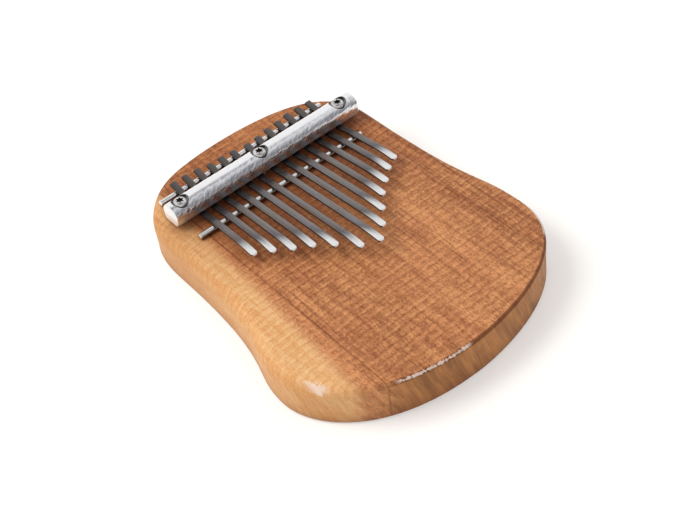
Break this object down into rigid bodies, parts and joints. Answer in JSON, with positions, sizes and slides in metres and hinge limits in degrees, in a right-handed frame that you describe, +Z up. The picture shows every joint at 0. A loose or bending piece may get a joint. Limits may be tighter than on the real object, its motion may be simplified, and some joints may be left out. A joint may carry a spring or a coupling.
{
  "type": "mbira",
  "caption": "Lamellophone: spring-steel tines clamped by a hammered metal bar over two rods on a solid, waisted wooden board; each tine can be plucked and slid to tune.",
  "frame": {"origin": "centre of the board's flat underside, on the resting plane", "axes": "+Z up out of the playing face, +Y towards the head where the bar is, -Y towards the player, +X to the player's right"},
  "size_m": [0.1458, 0.1864, 0.0354],
  "materials": {
    "board_wood": "satin, hand-rubbed oil over figured hardwood with a paler sapwood edge",
    "bar_aluminium": "hammered, then polished",
    "rod_steel": "bright drawn rod",
    "screw_steel": "bright zinc-plated steel",
    "tine_steel": "grey spring steel with ground, polished playing tips"
  },
  "bodies": {
    "clamped_frame": {"board": "board_wood", "pressure_bar": "bar_aluminium", "front_bridge_rod": "rod_steel", "rear_rod": "rod_steel", "screw_left": "screw_steel", "screw_centre": "screw_steel", "screw_right": "screw_steel"},
    "tine_01": {"tine_01_shank": "tine_steel"},
    "tine_01_playing_end": {"tine_01_tongue": "tine_steel"},
    "tine_02": {"tine_02_shank": "tine_steel"},
    "tine_02_playing_end": {"tine_02_tongue": "tine_steel"},
    "tine_03": {"tine_03_shank": "tine_steel"},
    "tine_03_playing_end": {"tine_03_tongue": "tine_steel"},
    "tine_04": {"tine_04_shank": "tine_steel"},
    "tine_04_playing_end": {"tine_04_tongue": "tine_steel"},
    "tine_05": {"tine_05_shank": "tine_steel"},
    "tine_05_playing_end": {"tine_05_tongue": "tine_steel"},
    "tine_06": {"tine_06_shank": "tine_steel"},
    "tine_06_playing_end": {"tine_06_tongue": "tine_steel"},
    "tine_07": {"tine_07_shank": "tine_steel"},
    "tine_07_playing_end": {"tine_07_tongue": "tine_steel"},
    "tine_08": {"tine_08_shank": "tine_steel"},
    "tine_08_playing_end": {"tine_08_tongue": "tine_steel"},
    "tine_09": {"tine_09_shank": "tine_steel"},
    "tine_09_playing_end": {"tine_09_tongue": "tine_steel"},
    "tine_10": {"tine_10_shank": "tine_steel"},
    "tine_10_playing_end": {"tine_10_tongue": "tine_steel"},
    "tine_11": {"tine_11_shank": "tine_steel"},
    "tine_11_playing_end": {"tine_11_tongue": "tine_steel"},
    "tine_12": {"tine_12_shank": "tine_steel"},
    "tine_12_playing_end": {"tine_12_tongue": "tine_steel"},
    "tine_13": {"tine_13_shank": "tine_steel"},
    "tine_13_playing_end": {"tine_13_tongue": "tine_steel"}
  },
  "joints": [
    {"name": "tine_01_tuning_slide", "type": "slide", "parent": "clamped_frame", "child": "tine_01", "axis": [-0.0259, -0.9997, 0], "range_m": [-0.0012, 0.0012]},
    {"name": "tine_02_tuning_slide", "type": "slide", "parent": "clamped_frame", "child": "tine_02", "axis": [-0.0212, -0.9998, 0], "range_m": [-0.0012, 0.0012]},
    {"name": "tine_03_tuning_slide", "type": "slide", "parent": "clamped_frame", "child": "tine_03", "axis": [-0.0164, -0.9999, 0], "range_m": [-0.0012, 0.0012]},
    {"name": "tine_04_tuning_slide", "type": "slide", "parent": "clamped_frame", "child": "tine_04", "axis": [-0.0117, -0.9999, 0], "range_m": [-0.0012, 0.0012]},
    {"name": "tine_05_tuning_slide", "type": "slide", "parent": "clamped_frame", "child": "tine_05", "axis": [-0.0069, -1, 0], "range_m": [-0.0012, 0.0012]},
    {"name": "tine_06_tuning_slide", "type": "slide", "parent": "clamped_frame", "child": "tine_06", "axis": [-0.0021, -1, 0], "range_m": [-0.0012, 0.0012]},
    {"name": "tine_07_tuning_slide", "type": "slide", "parent": "clamped_frame", "child": "tine_07", "axis": [0.0035, -1, 0], "range_m": [-0.0012, 0.0012]},
    {"name": "tine_08_tuning_slide", "type": "slide", "parent": "clamped_frame", "child": "tine_08", "axis": [0.0083, -1, 0], "range_m": [-0.0012, 0.0012]},
    {"name": "tine_09_tuning_slide", "type": "slide", "parent": "clamped_frame", "child": "tine_09", "axis": [0.013, -0.9999, 0], "range_m": [-0.0012, 0.0012]},
    {"name": "tine_10_tuning_slide", "type": "slide", "parent": "clamped_frame", "child": "tine_10", "axis": [0.0178, -0.9998, 0], "range_m": [-0.0012, 0.0012]},
    {"name": "tine_11_tuning_slide", "type": "slide", "parent": "clamped_frame", "child": "tine_11", "axis": [0.0225, -0.9997, 0], "range_m": [-0.0012, 0.0012]},
    {"name": "tine_12_tuning_slide", "type": "slide", "parent": "clamped_frame", "child": "tine_12", "axis": [0.0273, -0.9996, 0], "range_m": [-0.0012, 0.0012]},
    {"name": "tine_13_tuning_slide", "type": "slide", "parent": "clamped_frame", "child": "tine_13", "axis": [0.0321, -0.9995, 0], "range_m": [-0.0012, 0.0012]},
    {"name": "tine_01_flex", "type": "hinge", "parent": "tine_01", "child": "tine_01_playing_end", "pos_m": [-0.03815, 0.0425, 0.02535], "axis": [0.9997, -0.0259, 0], "range_deg": [-2, 2], "stiffness_Nm_per_rad": 0.111},
    {"name": "tine_02_flex", "type": "hinge", "parent": "tine_02", "child": "tine_02_playing_end", "pos_m": [-0.03115, 0.0425, 0.02535], "axis": [0.9998, -0.0212, 0], "range_deg": [-2, 2], "stiffness_Nm_per_rad": 0.18},
    {"name": "tine_03_flex", "type": "hinge", "parent": "tine_03", "child": "tine_03_playing_end", "pos_m": [-0.02415, 0.0425, 0.02535], "axis": [0.9999, -0.0164, 0], "range_deg": [-2, 2], "stiffness_Nm_per_rad": 0.283},
    {"name": "tine_04_flex", "type": "hinge", "parent": "tine_04", "child": "tine_04_playing_end", "pos_m": [-0.01715, 0.0425, 0.02535], "axis": [0.9999, -0.0117, 0], "range_deg": [-2, 2], "stiffness_Nm_per_rad": 0.406},
    {"name": "tine_05_flex", "type": "hinge", "parent": "tine_05", "child": "tine_05_playing_end", "pos_m": [-0.01015, 0.0425, 0.02535], "axis": [1, -0.0069, 0], "range_deg": [-2, 2], "stiffness_Nm_per_rad": 0.625},
    {"name": "tine_06_flex", "type": "hinge", "parent": "tine_06", "child": "tine_06_playing_end", "pos_m": [-0.00315, 0.0425, 0.02535], "axis": [1, -0.0021, 0], "range_deg": [-2, 2], "stiffness_Nm_per_rad": 1},
    {"name": "tine_07_flex", "type": "hinge", "parent": "tine_07", "child": "tine_07_playing_end", "pos_m": [0.00515, 0.0425, 0.02535], "axis": [1, 0.0035, 0], "range_deg": [-2, 2], "stiffness_Nm_per_rad": 1.169},
    {"name": "tine_08_flex", "type": "hinge", "parent": "tine_08", "child": "tine_08_playing_end", "pos_m": [0.01215, 0.0425, 0.02535], "axis": [1, 0.0083, 0], "range_deg": [-2, 2], "stiffness_Nm_per_rad": 0.848},
    {"name": "tine_09_flex", "type": "hinge", "parent": "tine_09", "child": "tine_09_playing_end", "pos_m": [0.01915, 0.0425, 0.02535], "axis": [0.9999, 0.013, 0], "range_deg": [-2, 2], "stiffness_Nm_per_rad": 0.545},
    {"name": "tine_10_flex", "type": "hinge", "parent": "tine_10", "child": "tine_10_playing_end", "pos_m": [0.02615, 0.0425, 0.02535], "axis": [0.9998, 0.0178, 0], "range_deg": [-2, 2], "stiffness_Nm_per_rad": 0.335},
    {"name": "tine_11_flex", "type": "hinge", "parent": "tine_11", "child": "tine_11_playing_end", "pos_m": [0.03315, 0.0425, 0.02535], "axis": [0.9997, 0.0225, 0], "range_deg": [-2, 2], "stiffness_Nm_per_rad": 0.219},
    {"name": "tine_12_flex", "type": "hinge", "parent": "tine_12", "child": "tine_12_playing_end", "pos_m": [0.04015, 0.0425, 0.02535], "axis": [0.9996, 0.0273, 0], "range_deg": [-2, 2], "stiffness_Nm_per_rad": 0.134},
    {"name": "tine_13_flex", "type": "hinge", "parent": "tine_13", "child": "tine_13_playing_end", "pos_m": [0.04715, 0.0425, 0.02535], "axis": [0.9995, 0.0321, 0], "range_deg": [-2, 2], "stiffness_Nm_per_rad": 0.091}
  ]
}
